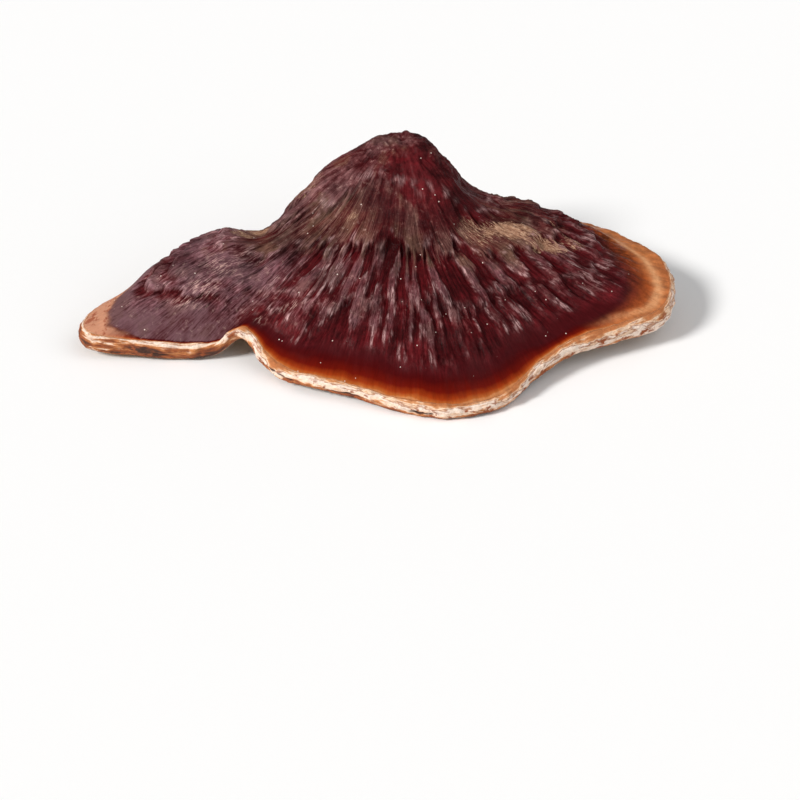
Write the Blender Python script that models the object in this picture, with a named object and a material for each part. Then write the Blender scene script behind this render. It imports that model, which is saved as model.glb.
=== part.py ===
"""A reishi mushroom cut from its log: a domed, two-lobed woody cap on a short stub of its stem.

The cap, its rounded margin, the pore face below and the stem grew as one piece, so they are one
solid. The origin is the middle of the stem's cut face, +Z is up and the cap's front is -Y.
"""
import math

import bmesh
import bpy

MM = 0.001

# Driving sizes, in millimetres.
DOME_HEIGHT = 33.5          # the dome without its knob
DOME_FULLNESS = 1.45        # 1 is a straight cone, 2 a full dome
LEFT_DOME_FULLNESS = 1.70
RIGHT_DOME_FULLNESS = 1.55
SIDE_START, SIDE_END = 0.2, 0.9   # sideways part of a direction over which the sides' fullness comes in
SKIRT_HEIGHT = 7.0          # the dome's foot in front; it climbs to the back
SKIRT_CLIMB = 13.0
RUFFLE_FADE = 5             # the higher, the nearer to the margin its ruffles stay
EDGE_ROUNDING = 2.0         # how far the rounded margin stands out from the crust
LIFT = 0.2                  # the front edge hangs this far above the cut face's plane

STEM_WIDTH = 36.0
STEM_DEPTH = 30.0
STEM_FLARE = 6.0            # where the stem spreads into the pore face
STEM_FLARE_SHARE = 0.35     # of the pore face's width, where that is narrow
PORE_FACE_HEIGHT = 15.0     # the pore face, where it meets the stem
PORE_FACE_HOLLOW = 0.62     # under 1 the hollow rises steeply behind the margin
TRIM = 2.0                  # grown below the cut, and cut away

SPOKES = 96
RINGS = 48
MARGIN_STEPS = 1440         # for measuring along the margin
SHARP_ANGLE = 50            # degrees; edges sharper than this stay crisp
CRUST_END, EDGE_END, PORE_END = 0.54, 0.66, 0.83   # shares of a section, from knob to cut face
FLARE_SHARE = 0.6           # of the stem's share

# The margin seen from above: angle in degrees (0 is the front, 90 the right), distance from the
# stem's axis, height of the margin's upper side, and thickness.
MARGIN = [
    (-180, 20.5, 20.0, 5.0),
    (-150, 22.0, 19.0, 5.0),
    (-128, 27.0, 16.0, 5.0),
    (-110, 36.0, 12.5, 5.0),
    (-96, 51.0, 9.5, 5.0),
    (-84, 70.0, 8.5, 5.2),
    (-76, 87.5, 8.6, 5.5),
    (-70.5, 99.0, 8.8, 5.6),
    (-66, 100.0, 8.0, 5.6),
    (-61, 88.0, 6.8, 5.6),
    (-56, 77.0, 5.8, 5.2),
    (-52, 70.0, 6.6, 4.6),
    (-48, 64.5, 11.8, 4.4),
    (-44.5, 62.5, 9.2, 4.4),
    (-40, 63.5, 6.6, 4.4),
    (-32, 65.0, 5.4, 4.4),
    (-22, 65.0, 5.8, 4.3),
    (-12, 65.5, 5.2, 4.3),
    (-2, 69.0, 4.7, 4.6),
    (10, 73.5, 4.6, 4.6),
    (22, 73.0, 4.9, 4.6),
    (34, 68.0, 7.4, 4.8),
    (46, 68.0, 9.9, 5.6),
    (57, 74.5, 10.8, 6.2),
    (66, 82.0, 11.4, 6.6),
    (75, 82.0, 12.8, 6.6),
    (84, 77.0, 14.6, 6.2),
    (94, 64.5, 15.0, 5.5),
    (108, 45.5, 14.8, 5.0),
    (128, 29.5, 16.5, 5.0),
    (152, 22.5, 19.0, 5.0),
]

# Swells and hollows of the crust: middle x and y, half length along x, half width along y, height,
# and how flat-topped the swell is (2 is a bell).
SWELLS = {
    "knob": (-4.0, 2.0, 18.0, 18.0, 16.6, 2.8),
    "knob_left_flank": (-30.0, 2.0, 9.0, 16.0, 3.4, 2.0),
    "left_shoulder": (-61.0, -10.0, 16.0, 20.0, 5.2, 2.0),
    "left_valley": (-42.5, -2.0, 6.0, 26.0, -3.6, 2.0),
    "knob_right_foot": (20.5, 2.0, 6.5, 14.0, -2.4, 2.0),
    "right_shoulder": (40.0, -2.0, 15.0, 16.0, 3.2, 2.0),
}
SWELL_STEEPNESS = 0.7
SWELL_FADE = 6              # the higher, the nearer to the margin a swell reaches

CRUST_RED = (0.071, 0.008, 0.006, 1.0)
CRUST_ROUGHNESS = 0.4


def clear_scene():
    for existing in list(bpy.data.objects):
        bpy.data.objects.remove(existing, do_unlink=True)


def ease(low, high, value):
    share = min(1.0, max(0.0, (value - low) / (high - low)))
    return share * share * (3 - 2 * share)


def on_margin(angle):
    """Distance, upper height and thickness of the margin at an angle, on a smooth closed curve."""
    count = len(MARGIN)
    angle = (angle + 180) % 360 - 180
    start = max(i for i in range(count) if MARGIN[i][0] <= angle)
    points = []
    for i in range(start - 1, start + 3):
        first, *rest = MARGIN[i % count]
        points.append((first + 360 * (i // count), *rest))
    (a0, *v0), (a1, *v1), (a2, *v2), (a3, *v3) = points
    s = (angle - a1) / (a2 - a1)
    values = []
    for p0, p1, p2, p3 in zip(v0, v1, v2, v3):
        slope1 = (p2 - p0) / (a2 - a0) * (a2 - a1)
        slope2 = (p3 - p1) / (a3 - a1) * (a2 - a1)
        values.append((2 * s**3 - 3 * s**2 + 1) * p1 + (s**3 - 2 * s**2 + s) * slope1
                      + (3 * s**2 - 2 * s**3) * p2 + (s**3 - s**2) * slope2)
    return values


def even_angles(count):
    """Angles whose spokes end at even steps along the margin."""
    lengths = [0.0]
    corners = []
    for i in range(MARGIN_STEPS + 1):
        angle = -180 + 360 * i / MARGIN_STEPS
        radius, height, _ = on_margin(angle)
        turn = math.radians(angle)
        corners.append((angle, (radius * math.sin(turn), -radius * math.cos(turn), height)))
    for (_, here), (_, there) in zip(corners, corners[1:]):
        lengths.append(lengths[-1] + math.dist(here, there))
    angles = []
    i = 0
    for k in range(count):
        wanted = lengths[-1] * k / count
        while lengths[i + 1] < wanted:
            i += 1
        share = (wanted - lengths[i]) / (lengths[i + 1] - lengths[i])
        angles.append(corners[i][0] + share * 360 / MARGIN_STEPS)
    return angles


def swell(name, x, y):
    middle_x, middle_y, length, width, height, power = SWELLS[name]
    reach = math.hypot((x - middle_x) / length, (y - middle_y) / width)
    return height * math.exp(-SWELL_STEEPNESS * reach**power)


def crust(angle, share):
    """A point of the crust, a share of the way from the stem's axis to the margin."""
    radius, rim, _ = on_margin(angle)
    turn = math.radians(angle)
    reach = share * (radius - EDGE_ROUNDING)
    x, y = reach * math.sin(turn), -reach * math.cos(turn)
    left = ease(SIDE_START, SIDE_END, -math.sin(turn))
    right = ease(SIDE_START, SIDE_END, math.sin(turn))
    fullness = (DOME_FULLNESS + left * (LEFT_DOME_FULLNESS - DOME_FULLNESS)
                + right * (RIGHT_DOME_FULLNESS - DOME_FULLNESS))
    skirt = SKIRT_HEIGHT + SKIRT_CLIMB * ((1 - math.cos(turn)) / 2) ** 2
    z = skirt + (DOME_HEIGHT - skirt) * (1 - share**fullness)
    z += (rim - skirt) * share**RUFFLE_FADE
    z += sum(swell(name, x, y) for name in SWELLS) * (1 - share**SWELL_FADE)
    return x, y, z


def edge(angle, share):
    """The rounded margin, from the crust's edge out and round to the pore face's edge."""
    radius, rim, thickness = on_margin(angle)
    turn = math.radians(angle)
    round_turn = math.pi * (0.5 - share)
    reach = radius - EDGE_ROUNDING * (1 - math.cos(round_turn))
    z = rim - thickness / 2 * (1 - math.sin(round_turn))
    return reach * math.sin(turn), -reach * math.cos(turn), z


def stem_reach(angle):
    turn = math.radians(angle)
    return 1 / math.hypot(math.sin(turn) / (STEM_WIDTH / 2), math.cos(turn) / (STEM_DEPTH / 2))


def flare(angle):
    radius, _, _ = on_margin(angle)
    return min(STEM_FLARE, STEM_FLARE_SHARE * (radius - EDGE_ROUNDING - stem_reach(angle)))


def pore_face(angle, share):
    """The pore face, from the margin in to the stem."""
    radius, rim, thickness = on_margin(angle)
    turn = math.radians(angle)
    outer, inner = radius - EDGE_ROUNDING, stem_reach(angle) + flare(angle)
    reach = outer + share * (inner - outer)
    low = rim - thickness
    rise = math.sin(share * math.pi / 2) ** PORE_FACE_HOLLOW
    return reach * math.sin(turn), -reach * math.cos(turn), low + (PORE_FACE_HEIGHT - low) * rise


def stem(angle, share):
    """The stem's side: it rounds off from the pore face, then runs straight down past the cut."""
    turn = math.radians(angle)
    reach, z = stem_reach(angle), PORE_FACE_HEIGHT
    if share < FLARE_SHARE:
        round_turn = math.pi / 2 * share / FLARE_SHARE
        reach += flare(angle) * (1 - math.sin(round_turn))
        z -= STEM_FLARE * (1 - math.cos(round_turn))
    else:
        fall = (share - FLARE_SHARE) / (1 - FLARE_SHARE)
        z -= STEM_FLARE + fall * (PORE_FACE_HEIGHT + TRIM - STEM_FLARE)
    return reach * math.sin(turn), -reach * math.cos(turn), z


def section_point(angle, share):
    """A point on the closed section of one spoke: 0 is the knob's top, 1 the foot of the stem."""
    if share <= CRUST_END:
        return crust(angle, share / CRUST_END)
    if share <= EDGE_END:
        return edge(angle, (share - CRUST_END) / (EDGE_END - CRUST_END))
    if share <= PORE_END:
        return pore_face(angle, (share - EDGE_END) / (PORE_END - EDGE_END))
    return stem(angle, min(1.0, (share - PORE_END) / (1 - 1 / RINGS - PORE_END)))


def make_fruiting_body():
    """A ball, pressed into the mushroom's shape and cut off flat across the stem."""
    bm = bmesh.new()
    bmesh.ops.create_uvsphere(bm, u_segments=SPOKES, v_segments=RINGS, radius=1.0)
    angles = even_angles(SPOKES)
    for vert in bm.verts:
        share = math.acos(max(-1.0, min(1.0, vert.co.z))) / math.pi
        if share > 1 - 0.5 / RINGS:
            vert.co = (0.0, 0.0, -TRIM * MM)
            continue
        spoke = round(math.atan2(vert.co.y, vert.co.x) / (2 * math.pi) * SPOKES) % SPOKES
        x, y, z = section_point(angles[spoke], share)
        vert.co = (x * MM, y * MM, (z + LIFT) * MM)
    everything = bm.verts[:] + bm.edges[:] + bm.faces[:]
    bmesh.ops.bisect_plane(bm, geom=everything, plane_co=(0, 0, 0), plane_no=(0, 0, 1),
                           clear_inner=True)
    bmesh.ops.holes_fill(bm, edges=bm.edges[:])
    bmesh.ops.recalc_face_normals(bm, faces=bm.faces[:])
    mesh = bpy.data.meshes.new("fruiting_body")
    bm.to_mesh(mesh)
    bm.free()
    mesh.shade_smooth()
    mesh.set_sharp_from_angle(angle=math.radians(SHARP_ANGLE))
    return bpy.data.objects.new("fruiting_body", mesh)


def lacquered_crust():
    material = bpy.data.materials.new("lacquered_crust")
    material.use_nodes = True
    shader = material.node_tree.nodes["Principled BSDF"]
    shader.inputs["Base Color"].default_value = CRUST_RED
    shader.inputs["Roughness"].default_value = CRUST_ROUGHNESS
    shader.inputs["Metallic"].default_value = 0.0
    return material


def main():
    clear_scene()
    collection = bpy.data.collections.new("reishi_mushroom")
    bpy.context.scene.collection.children.link(collection)
    fruiting_body = make_fruiting_body()
    fruiting_body.data.materials.append(lacquered_crust())
    collection.objects.link(fruiting_body)


main()
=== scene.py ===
import math

import bmesh
import bpy
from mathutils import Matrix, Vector, noise


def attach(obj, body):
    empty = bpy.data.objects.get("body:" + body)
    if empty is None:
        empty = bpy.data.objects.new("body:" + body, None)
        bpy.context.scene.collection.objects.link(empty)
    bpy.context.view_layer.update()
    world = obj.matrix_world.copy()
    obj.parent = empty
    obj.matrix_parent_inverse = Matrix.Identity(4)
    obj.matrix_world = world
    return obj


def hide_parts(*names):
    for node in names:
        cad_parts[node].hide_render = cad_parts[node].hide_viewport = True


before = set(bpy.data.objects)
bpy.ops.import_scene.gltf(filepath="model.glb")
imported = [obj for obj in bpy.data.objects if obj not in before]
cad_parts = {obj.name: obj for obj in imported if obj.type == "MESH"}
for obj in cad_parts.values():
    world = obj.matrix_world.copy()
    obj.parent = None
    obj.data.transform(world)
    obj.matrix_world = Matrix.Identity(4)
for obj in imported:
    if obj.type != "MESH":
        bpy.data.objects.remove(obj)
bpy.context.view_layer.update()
print("frame loaded:", sorted(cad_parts))

mm = 0.001

view = {
    "lookAt": (-0.0012, -0.0617, 0.0),  # on the floor in front of the cap
    "elevation": 35.0,
    "distance": 0.64,
    "lens": 102.86,
    "sensor": 36.0,
    "nearest": 0.01,
}


def makeCamera():
    camera = bpy.data.objects.new("camera", bpy.data.cameras.new("camera"))
    bpy.context.scene.collection.objects.link(camera)
    tilt = math.radians(view["elevation"])
    back = Vector((0, -math.cos(tilt), math.sin(tilt)))
    camera.location = Vector(view["lookAt"]) + back * view["distance"]
    camera.rotation_euler = (math.pi / 2 - tilt, 0, 0)
    camera.data.lens = view["lens"]
    camera.data.sensor_width = view["sensor"]
    camera.data.clip_start = view["nearest"]
    bpy.context.scene.camera = camera


makeCamera()

# the cap's form, in millimetres from the middle of the stem's cut face; 0 degrees is the front
form = {
    # angle, distance of the margin, height of its upper side, thickness
    "margin": [
        (-180, 20.5, 20.0, 5.0), (-150, 22.0, 19.0, 5.0), (-128, 27.0, 16.0, 5.0),
        (-110, 36.0, 12.5, 5.0), (-96, 51.0, 9.5, 5.0), (-84, 70.0, 8.5, 5.2),
        (-76, 87.5, 8.6, 5.5), (-70.5, 99.0, 8.8, 5.6), (-66, 100.0, 8.0, 5.6),
        (-61, 88.0, 6.8, 5.6), (-56, 77.0, 5.8, 5.2), (-52, 70.0, 6.6, 4.6),
        (-48, 64.5, 11.8, 4.4), (-44.5, 62.5, 9.2, 4.4), (-40, 63.5, 6.6, 4.4),
        (-32, 65.0, 5.4, 4.4), (-22, 65.0, 5.8, 4.3), (-12, 65.5, 5.2, 4.3),
        (-2, 69.0, 4.7, 4.6), (10, 73.5, 4.6, 4.6), (22, 73.0, 4.9, 4.6),
        (34, 68.0, 7.4, 4.8), (46, 68.0, 9.9, 5.6), (57, 74.5, 10.8, 6.2),
        (66, 82.0, 11.4, 6.6), (75, 82.0, 12.8, 6.6), (84, 77.0, 14.6, 6.2),
        (94, 64.5, 15.0, 5.5), (108, 45.5, 14.8, 5.0), (128, 29.5, 16.5, 5.0),
        (152, 22.5, 19.0, 5.0),
    ],
    # middle x and y, half length, half width, height, and how flat its top is
    "swells": [
        (-4.0, 2.0, 18.0, 18.0, 16.6, 2.8),
        (-30.0, 2.0, 9.0, 16.0, 3.4, 2.0),
        (-61.0, -10.0, 16.0, 20.0, 5.2, 2.0),
        (-42.5, -2.0, 6.0, 26.0, -3.6, 2.0),
        (20.5, 2.0, 6.5, 14.0, -2.4, 2.0),
        (40.0, -2.0, 15.0, 16.0, 3.2, 2.0),
    ],
    "swellSteepness": 0.7,
    "swellFade": 6,
    "domeHeight": 33.5,
    "sides": (0.2, 0.9),    # where left and right begin and are whole, by the sine of the angle
    "fullness": 1.45,
    "leftFullness": 1.70,
    "rightFullness": 1.55,
    "skirtHeight": 7.0,
    "skirtClimb": 13.0,
    "ruffleFade": 5,
    "edgeRounding": 2.0,
    "lift": 0.2,
    "stemWidth": 36.0,
    "stemDepth": 30.0,
    "stemFlare": 6.0,
    "flareShare": 0.35,
    "poreHeight": 15.0,
    "poreHollow": 0.62,
    "marginSteps": 2880,
    "spokes": 640,
    "rings": 150,
    # how the section of one spoke is shared out, from the knob's top to the middle of the cut
    "crustEnd": 0.62,
    "edgeEnd": 0.72,
    "poreEnd": 0.85,
    "stemEnd": 0.93,
}

# how wide the smooth orange band is inside the margin, in millimetres
orangeBand = [
    (-180, 3.0), (-100, 5.0), (-80, 7.0), (-71, 9.0), (-66, 5.5),
    (-61, 0.7), (-51, 0.7), (-40, 3.6), (-22, 6.0), (5, 7.0),
    (25, 6.5), (40, 2.6), (48, 3.2), (57, 4.4), (67, 11.0),
    (77, 18.0), (86, 19.0), (96, 12.0), (110, 7.0), (130, 4.0),
]


def ease(low, high, value):
    share = min(1.0, max(0.0, (value - low) / (high - low)))
    return share * share * (3 - 2 * share)


# rises over the first two places and falls over the last two
def hump(rise, full, drop, gone, value):
    return ease(rise, full, value) * (1 - ease(drop, gone, value))


# a smooth closed curve through points that each start with an angle
def along(points, angle):
    count = len(points)
    angle = (angle + 180) % 360 - 180
    start = max(i for i in range(count) if points[i][0] <= angle)
    near = []
    for i in range(start - 1, start + 3):
        first, *rest = points[i % count]
        near.append((first + 360 * (i // count), *rest))
    (a0, *v0), (a1, *v1), (a2, *v2), (a3, *v3) = near
    s = (angle - a1) / (a2 - a1)
    values = []
    for p0, p1, p2, p3 in zip(v0, v1, v2, v3):
        slope1 = (p2 - p0) / (a2 - a0) * (a2 - a1)
        slope2 = (p3 - p1) / (a3 - a1) * (a2 - a1)
        values.append((2 * s**3 - 3 * s**2 + 1) * p1 + (s**3 - 2 * s**2 + s) * slope1
                      + (3 * s**2 - 2 * s**3) * p2 + (s**3 - s**2) * slope2)
    return values


# angles whose spokes end at even steps along the margin, and the margin's whole length
def evenAngles(count):
    steps = form["marginSteps"]
    corners = []
    for i in range(steps + 1):
        angle = -180 + 360 * i / steps
        radius, height, _ = along(form["margin"], angle)
        turn = math.radians(angle)
        corners.append((radius * math.sin(turn), -radius * math.cos(turn), height))
    lengths = [0.0]
    for here, there in zip(corners, corners[1:]):
        lengths.append(lengths[-1] + math.dist(here, there))
    angles = []
    i = 0
    for k in range(count):
        wanted = lengths[-1] * k / count
        while lengths[i + 1] < wanted:
            i += 1
        share = (wanted - lengths[i]) / (lengths[i + 1] - lengths[i])
        angles.append(-180 + 360 * (i + share) / steps)
    return angles, lengths[-1]


# everything that stays the same along one spoke
class Spoke:
    def __init__(self, angle, around, marginLength):
        self.angle = angle
        self.radius, self.rim, self.thickness = along(form["margin"], angle)
        self.band = along(orangeBand, angle)[0]
        turn = math.radians(angle)
        self.sin, self.cos = math.sin(turn), math.cos(turn)
        self.loop = Vector((math.cos(around), math.sin(around), 0)) * marginLength / (2 * math.pi)
        self.tangent = Vector((-math.sin(around), math.cos(around), 0))
        self.left = ease(*form["sides"], -self.sin)
        self.right = ease(*form["sides"], self.sin)
        self.skirt = form["skirtHeight"] + form["skirtClimb"] * ((1 - self.cos) / 2) ** 2
        self.fullness = (form["fullness"] + self.left * (form["leftFullness"] - form["fullness"])
                         + self.right * (form["rightFullness"] - form["fullness"]))
        self.stem = 1 / math.hypot(2 * self.sin / form["stemWidth"], 2 * self.cos / form["stemDepth"])
        self.inner = self.radius - form["edgeRounding"]
        self.flare = min(form["stemFlare"], form["flareShare"] * (self.inner - self.stem))

    def at(self, reach, z):
        return Vector((reach * self.sin, -reach * self.cos, z))

    # the spoke's place on a ring as long as the margin, where noise joins up all the way round
    def noisePoint(self, size, depth):
        return Vector((self.loop.x / size, self.loop.y / size, depth))

    # smooth noise along the margin; the seed keeps one use of it from repeating another
    def wander(self, size, seed):
        return noise.noise(self.noisePoint(size, seed))


def crustPoint(spoke, share):
    point = spoke.at(share * spoke.inner, 0)
    z = spoke.skirt + (form["domeHeight"] - spoke.skirt) * (1 - share**spoke.fullness)
    z += (spoke.rim - spoke.skirt) * share ** form["ruffleFade"]
    fade = 1 - share ** form["swellFade"]
    for x, y, length, width, height, power in form["swells"]:
        away = math.hypot((point.x - x) / length, (point.y - y) / width)
        z += height * math.exp(-form["swellSteepness"] * away**power) * fade
    point.z = z
    return point


def edgePoint(spoke, share):
    turn = math.pi * (0.5 - share)
    reach = spoke.radius - form["edgeRounding"] * (1 - math.cos(turn))
    return spoke.at(reach, spoke.rim - spoke.thickness / 2 * (1 - math.sin(turn)))


def porePoint(spoke, share):
    reach = spoke.inner + share * (spoke.stem + spoke.flare - spoke.inner)
    low = spoke.rim - spoke.thickness
    rise = math.sin(share * math.pi / 2) ** form["poreHollow"]
    return spoke.at(reach, low + (form["poreHeight"] - low) * rise)


def stemPoint(spoke, share):
    reach, z = spoke.stem, form["poreHeight"]
    if share < 0.5:
        turn = math.pi * share
        reach += spoke.flare * (1 - math.sin(turn))
        z -= form["stemFlare"] * (1 - math.cos(turn))
    else:
        straight = form["poreHeight"] + form["lift"] - form["stemFlare"]
        z -= form["stemFlare"] + (2 * share - 1) * straight
    return spoke.at(reach, z)


def cutPoint(spoke, share):
    return spoke.at(spoke.stem * (1 - share), -form["lift"])


# the zones of a section, each with its own shape, relief and colour
zones = [
    ("crust", 0.0, form["crustEnd"], crustPoint),
    ("edge", form["crustEnd"], form["edgeEnd"], edgePoint),
    ("pores", form["edgeEnd"], form["poreEnd"], porePoint),
    ("stem", form["poreEnd"], form["stemEnd"], stemPoint),
    ("cut", form["stemEnd"], 1.0, cutPoint),
]


def zoneOf(section):
    for name, low, high, shape in zones:
        if section <= high:
            break
    return name, min(1.0, (section - low) / (high - low)), shape


# relief of the crust: heights and sizes in millimetres, places as shares of a spoke,
# and in pairs where something begins and where it is whole
relief = {
    # how far outwards the zones are pulled at the sides and beside the fold, and between which places
    "sidePull": 0.23,
    "sidePullPlaces": (0.0, 0.50, 0.52, 0.94),
    "foldPull": 0.09,
    "foldPullPlaces": (0.45, 0.80, 0.88, 1.0),
    "foldAngles": (-60, -48, -36, -18),
    # wrinkles of the knob, of the middle and of the outer slope: where each set ends,
    # how far apart they are along the margin, height, and how broad the crests are
    "wrinkles": [
        (0.38, 15.0, 0.32, 0.10),
        (0.63, 7.8, 1.35, -0.02),
        (1.00, 6.3, 1.05, 0.08),
    ],
    "wrinkleBlend": 0.03,
    "wrinkleLength": 0.26,
    "wrinkleSeed": 5.3,
    "wrinkleGrowth": 1.7,       # how soon they reach their full height on the way out
    # they sway from side to side and fork
    "waviness": 2.2,
    "waveSize": 9.0,
    "waveTurns": 7,
    "forks": 0.28,
    "forkSize": 2.3,
    # how a crest is rounded, how much of it stands out as a peak, and where the flank is that carries a
    # painted glint
    "crestSoftness": 0.22,
    "crestPeak": 0.45,
    "crestPeakWidth": 0.40,
    "flankPlace": 0.14,
    "flankWidth": 0.055,
    # wrinkles start below the knob's top, are half as strong on the left and end on the smooth band
    "wrinkledFrom": (0.14, 0.26),
    "leftCalm": 0.5,
    "leftCalmFrom": (0.5, 0.7),
    "smoothFrom": (0.80, 0.90),
    "smoothSeed": 8.8,
    # short fine wrinkles, the knob's pebbles, broad lumps and grain
    "fineHeight": 0.30,
    "fineSpacing": 3.0,
    "fineTurns": 9,
    "fineSeed": 20,
    "fineFrom": (0.20, 0.42),
    "knobEnd": (0.16, 0.30),
    "pebbleHeight": 0.9,
    "pebbleSize": 2.6,
    "pebbleDetail": 2.2,
    "pebbleDetailShare": 0.5,
    "pebbleCrests": 0.8,
    "pebblesPastKnob": 0.25,
    "lumpHeight": 1.1,
    "lumpSize": 10.0,
    "grainHeight": 0.10,
    "grainSize": 0.9,
    # how much of the pebbles, lumps and grain is lost on the smooth band
    "pebbleLoss": 0.8,
    "lumpLoss": 0.7,
    "grainLoss": 0.6,
    # how far out, height, softness, strength of the painted shade below, and the angles it runs between
    "ledges": [
        (0.205, 1.10, 0.020, 0.2, -200, 200),
        (0.385, 1.15, 0.020, 0.35, -200, 200),
        (0.640, 0.60, 0.020, 0.3, -200, 200),
        (0.900, 0.12, 0.030, 0.0, -200, 200),
        (0.745, 1.40, 0.018, 0.9, -96, -61),
    ],
    "ledgeFade": 7,             # degrees over which a ledge begins and ends
    "ledgeSeed": 3.1,
    # how far in a ledge swells, how far out and how deep the foot below it is, where its painted shade
    # lies, and its lip
    "ledgeSwell": 0.12,
    "ledgeFoot": 0.08,
    "footDepth": 0.35,
    "lipWidth": 0.7,
    "scallop": 0.035,
    "scallopWaves": [(14.0, 1.2), (5.0, 0.8), (2.0, 0.35)],     # length and weight
    "scallopFrom": (0.0, 0.5),
    "crestReach": 0.05,         # crests carry a ledge further out than the hollows between them
    "crestReachFrom": (0.25, 0.36),
    "settle": 1.0,              # takes back what the ledges and lumps add
    "settleFade": 8,
    # middle x and y, size and height
    "mounds": [
        (-66, -8, 12, 1.6), (-78, -16, 9, 1.4), (-41, -3, 8, -1.6), (-24, -3, 7, 1.2),
        (14, -6, 8, 0.8), (6, 1, 5, 1.0), (0, 0, 2.4, -1.5), (-75, -16, 5.5, 2.8),
    ],
    # middle x and y, across and along the spoke, depth
    "creases": [(-70.5, -30.5, 9.0, 1.1, 0.9), (-49.0, -33.5, 1.8, 9.0, 0.8)],
    # the margin goes up and down: how many times shorter than the first, weight, seed
    "edgeWaveHeight": 0.8,
    "edgeWaveLength": 7.0,
    "edgeWaves": [(1, 1.0, 4.4), (3, 0.5, 8.1), (7, 0.3, 12.6)],
    "edgeWaveFade": 12,
}

# a dull film lies over the lacquer
film = {
    # from the knob outwards, how much of the crust it covers and how much of it keeps to the crests
    "shares": [
        (0.0, 0.72, 0.2), (0.15, 0.54, 0.4), (0.195, 0.45, 0.4), (0.215, 0.85, 0.3),
        (0.26, 0.52, 0.5), (0.36, 0.66, 0.5), (0.385, 0.84, 1.0), (0.58, 0.80, 1.0),
        (0.66, 0.64, 0.8), (0.73, 0.60, 0.9), (0.80, 0.0, 1.0), (1.0, 0.0, 1.0),
    ],
    "cloudStrength": 0.30,
    "cloudSize": 11.0,
    "cloudShift": (3.3, 7.7, 0.0),
    # middle x and y, half length and width in millimetres, and how bare of film the crust is there
    "barePatches": [
        (4, -10, 10, 7, 0.60), (15, 0, 10, 18, 0.30),
        (-5, -16, 5, 5, 0.15), (-22, -9, 8, 8, -0.15),
    ],
    "rightBare": 0.35,
    "rightBareFrom": (0.55, 0.72),
    # the film is also thinned where the painted shade lies below a ledge
    "underLedges": 0.8,         # how much of it is missing below a ledge
    # the left lobe is filmed evenly, out to its margin
    "leftAngles": (-120, -100, -57, -45),
    "leftPlaces": (0.42, 0.60, 0.988, 1.0),
    "leftShare": 0.68,
    "leftClouds": 0.25,
    "leftCloudSize": 8.0,
    "leftUnderLedges": 0.6,
}

# painted glints: pale highlight lines at the ends of crests, along their flanks and on the ledges' lips
paintedGlints = {
    "endPlaces": (0.70, 0.78, 0.81, 0.86),
    "endBreaks": (0.15, 0.40),
    "endCrests": (0.3, 0.8),
    "flankPlaces": (0.36, 0.44, 0.70, 0.83),
    "flankBreaks": (-0.25, 0.15),
    "flankBreakSize": 5.0,
    "flankShift": (0.0, 0.0, 4.0),
    "lipStrength": 0.65,
    "lipBreaks": (-0.05, 0.30),
    "lipBreakSize": 2.6,
    "lipShift": (0.0, 9.0, 0.0),
    "leftLoss": 0.8,
}

# middle x and y, half length and width in millimetres, strength
tanDust = [
    (31, -15.5, 9, 4, 0.75), (41, -18, 8, 3, 0.70), (49, -14.5, 5, 2.5, 0.40),
    (44, -9.0, 6, 2, 0.25), (22, -17, 8, 5, 0.40), (-43, -10, 5, 4, 0.7),
    (-47, -15, 4, 3, 0.5), (-28, -4, 6, 5, 0.4), (-15, -17, 2.2, 1.3, 0.36),
]

# pale scuffs on the crests, in the same way
scuffs = [
    (-52, -27, 6.0, 2.2, 0.8), (-58, -32, 5.0, 2.0, 0.8), (-62, -35, 4.0, 1.4, 0.6),
    (-41, -39.4, 2.6, 1.2, 0.5), (-33, -36.8, 3.0, 1.4, 0.6), (-45, -24, 6.0, 2.0, 0.4),
]

patchEdge = {"fade": (0.3, 1.35), "raggedness": 0.4, "size": 2.5}

pastBand = 3.0      # in widths of the orange band, where nothing of it is left

# the tan patch on the left tip, in degrees and in widths of the orange band
tipPatch = {"angles": (-94, -78, -66, -61), "fade": (0.75, 1.1), "raggedness": 0.25, "size": 2.0}

# how quickly the margin's flesh turns from cream to rust on its way down
fleshTurn = [
    (-180, 1.1), (-100, 1.3), (-80, 2.5), (-70, 4.2), (-65.5, 3.6),
    (-61, 2.1), (-50, 1.2), (-20, 1.0), (10, 1.0), (35, 0.95),
    (50, 0.75), (75, 0.7), (88, 1.1), (105, 1.2), (140, 1.1),
]

# pale ring inside the right margin: distance inward and strength
paleRing = [
    (-180, 6.0, 0.0), (0, 6.0, 0.0), (50, 2.0, 0.0), (60, 2.3, 0.5),
    (67, 2.4, 0.9), (73, 3.2, 1.0), (79, 4.8, 1.0), (86, 7.5, 1.0),
    (92, 6.5, 0.8), (104, 3.5, 0.3), (120, 3.0, 0.0),
]
ringShape = {"width": 1.3, "wander": 0.8, "wanderSize": 5.0, "seed": 9.0}


def noiseAt(point, size, shift=(0.0, 0.0, 0.0)):
    return noise.noise(point / size + Vector(shift))


# steps through a table of places from the knob outwards
def between(table, place):
    for (low, *lowValues), (high, *highValues) in zip(table, table[1:]):
        if place <= high:
            share = ease(low, high, place)
            return [a + (b - a) * share for a, b in zip(lowValues, highValues)]
    return table[-1][1:]


# ledges and wrinkles start further out at the sides than in front, and end further out by the fold
def pulledIn(spoke, share):
    pull = relief["sidePull"] * hump(*relief["sidePullPlaces"], share)
    late = relief["foldPull"] * hump(*relief["foldPullPlaces"], share)
    return share - pull * spoke.sin**2 - late * hump(*relief["foldAngles"], spoke.angle)


def scallopAt(spoke, seed):
    waves = relief["scallopWaves"]
    return relief["scallop"] * sum(weight * spoke.wander(size, seed) for size, weight in waves)
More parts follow.
